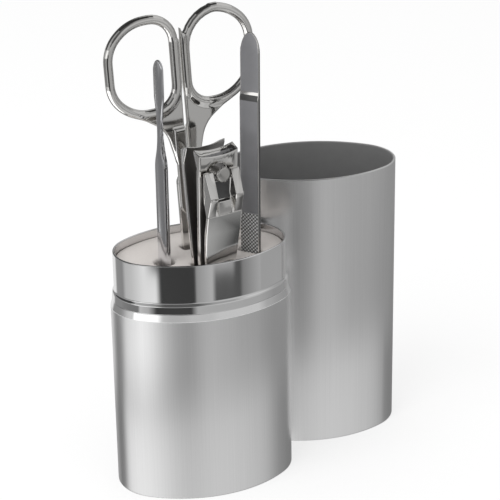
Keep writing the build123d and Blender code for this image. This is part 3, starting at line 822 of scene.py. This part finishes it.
def tool_axes(lift, hinge, height):
    """A tool's across, front and up, and its foot on the deck. Its hinge turns about its front."""
    up = Vector(joints[lift]["axis"]).normalized()
    front = Vector(joints[hinge]["axis"]).normalized()
    foot = Vector(joints[hinge]["pos_m"]) - up * height * MM
    return np.array(up.cross(front) * -1), np.array(front), np.array(up), np.array(foot)


def add_scissor_half(name, side, layer, body, node, material):
    """One half of the scissors. side is where its ring is and layer where its blade lies, each 1 or -1."""
    across, front, up, foot = tool_axes("scissors_lift", "scissors_open", PIVOT_HEIGHT)
    field = scissor_field(side, layer)
    reach = RING_GAP / 2 + RING_WIDTH + RING_WIRE + FIELD_ROOM
    neck = NECK_HALF + FIELD_ROOM
    depth = RING_WIRE / 2 + FIELD_DEPTH_ROOM
    low = (-reach if side < 0 else -neck, -depth, -BLADE_TIP - FIELD_ROOM)
    high = (reach if side > 0 else neck, depth, RING_START + RING_LENGTH + RING_WIRE)
    points, faces, normals = field_mesh(field, low, high, FIELD_STEP)
    turn = np.stack([across, front, up])
    placed = points @ turn * MM + foot
    piece = new_piece(name, placed.tolist(), faces.tolist(), body, "tool_steel", material, node)
    piece.data.normals_split_custom_set_from_vertices((normals @ turn).tolist())


# ------------------------------------------------------------------- assembly
add_camera()
add_world()
add_floor()
add_lamp()

case_satin = satin_metal()
sleeve_mirror = polished("sleeve_mirror", (0.9, 0.9, 0.9), 0.05)
steel = polished("tool_nickel", (0.82, 0.81, 0.79), 0.09)
lip_polish = polished("lip_polish", (0.95, 0.95, 0.95), 0.06)
# bright, dull metal for a band below the lip: a painted highlight line
lip_painted_highlight = dull_metal("lip_painted_highlight", (0.85, 0.85, 0.85), 0.4)
sleeve_inside = polished("sleeve_inside", (0.72, 0.71, 0.71), 0.2)
# dark, dull metal for the inside of the cap: painted shade
cap_inside_painted_shade = dull_metal("cap_inside_painted_shade", (0.3, 0.3, 0.3), 0.35)
# a darker copy of the tool steel: painted shade on the clipper's faces between and behind its parts
painted_shade_steel = polished("tool_face_painted_shade", (0.42, 0.41, 0.4), 0.35)
# near-black steel for the lever's window: painted shade
window_painted_shade = polished("lever_window_painted_shade", (0.12, 0.12, 0.12), 0.3)
pusher_steel = polished("pusher_steel", (0.78, 0.78, 0.8), 0.12)
# a darker copy of the tool steel for the lever's front plate: painted shade
lever_plate_painted_shade = polished("lever_plate_painted_shade", (0.62, 0.62, 0.61), 0.12)
# a darker copy of the tool steel for the pin: painted shade
pin_painted_shade = polished("pin_painted_shade", (0.6, 0.59, 0.57), 0.15)
# near-black metal for the file's side faces and the band under its step: painted shade
file_painted_shade = dull_metal("file_painted_shade", (0.07, 0.07, 0.07), 0.3)
cream = cream_plastic()

add_base(case_satin, lip_polish, lip_painted_highlight)
add_neck(sleeve_mirror, sleeve_inside)
add_cap(case_satin, cap_inside_painted_shade)

add_scissor_half("scissor_half_left", 1, 1, "scissor_swing", "scissor_blade_left", steel)
add_scissor_half("scissor_half_right", -1, -1, "scissors", "scissor_blade_right", steel)
dressed("scissor_screw", "scissor_pivot", "scissors", "screw_steel", steel, 0.15)

clipper_across = Vector(joints["clipper_close"]["axis"]).normalized()
clipper_front = Vector(joints["clipper_lift"]["axis"]).cross(clipper_across).normalized()
lever_middle = (Vector(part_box("clipper_lever")[0]) + Vector(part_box("clipper_lever")[1])) / 2


def faces_front(face):
    """How straight a face looks to the clipper's front, from 1 down to -1 for its back."""
    return face.normal.dot(clipper_front)


arm_back = dressed("clipper_lower_arm", "clipper_arm_back", "clipper", "tool_steel", steel, 0.2)
# the back arm's inner face and its back face are painted dark: painted shade
paint(arm_back, painted_shade_steel, lambda face: faces_front(face) > FACING or faces_front(face) < -LEANING)
arm_front = dressed(
    "clipper_upper_arm", "clipper_arm_front", "clipper_press", "tool_steel", steel, 0.2,
    reshape=lambda shape: cut_levels(shape, LEVER_PAINTED_SHADE),
)
# the front arm's inner face, and its front face below the lever, are painted dark: painted shade
paint(
    arm_front, painted_shade_steel,
    lambda face: faces_front(face) < -FACING
    or faces_front(face) > LEANING and face.center.z < LEVER_PAINTED_SHADE * MM,
)
lever = dressed(
    "clipper_lever", "clipper_thumb_lever", "clipper_tilt", "tool_steel", steel, 0.25,
    reshape=broaden_lever,
)
plate_top, window_foot = ((DECK_HEIGHT + height) * MM for height in LEVER_HEIGHTS[4:6])
# the lever's back faces are painted dark: painted shade
paint(lever, painted_shade_steel, lambda face: faces_front(face) < -FACING)
# the faces in the lever's window are painted near-black: painted shade
paint(
    lever, window_painted_shade,
    lambda face: faces_front(face) > LEANING and face.center.z > window_foot
    and abs((face.center - lever_middle).dot(clipper_across)) < WINDOW_HALF * MM,
)
# the lever's front plate is painted a darker steel: painted shade
paint(lever, lever_plate_painted_shade, lambda face: faces_front(face) > FACING and face.center.z < plate_top)
dressed("clipper_pin", "clipper_post", "clipper", "tool_steel", pin_painted_shade, 0.3)
dressed("clipper_rivet", "clipper_tail_rivet", "clipper", "tool_steel", steel, 0.15)

file_up, file_across, file_front = plate_axes("nail_file", "file_lift")
file_face = dull_metal("file_cuts", (0.23, 0.23, 0.24), 0.3, (file_up, file_across))


def on_flat(face):
    return abs(face.normal.dot(file_front)) > LEANING


def band(low, high):
    """Chooses the faces on the file's two flats between two heights."""
    return lambda face: on_flat(face) and low * MM < face.center.z < high * MM


blade = dressed(
    "nail_file", "file_blade", "file", "tool_steel", steel, 0.2,
    reshape=lambda shape: cut_levels(shape, *STEP_PAINTED_SHADE, STEP_TOP),
)
# the file's side faces are painted near-black: painted shade
paint(blade, file_painted_shade, lambda face: abs(face.normal.dot(file_front)) < EDGE_ON)
paint(blade, file_face, on_flat)
paint(blade, steel, band(STEP_PAINTED_SHADE[1], STEP_TOP))
# the band under the step is painted near-black: painted shade
paint(blade, file_painted_shade, band(*STEP_PAINTED_SHADE))
dressed("cuticle_pusher", "pusher_stem", "pusher", "tool_steel", pusher_steel, 0.3)
dressed("holder_tray", "deck_tray", "case", "tray_plastic", cream, 0.3, 4)
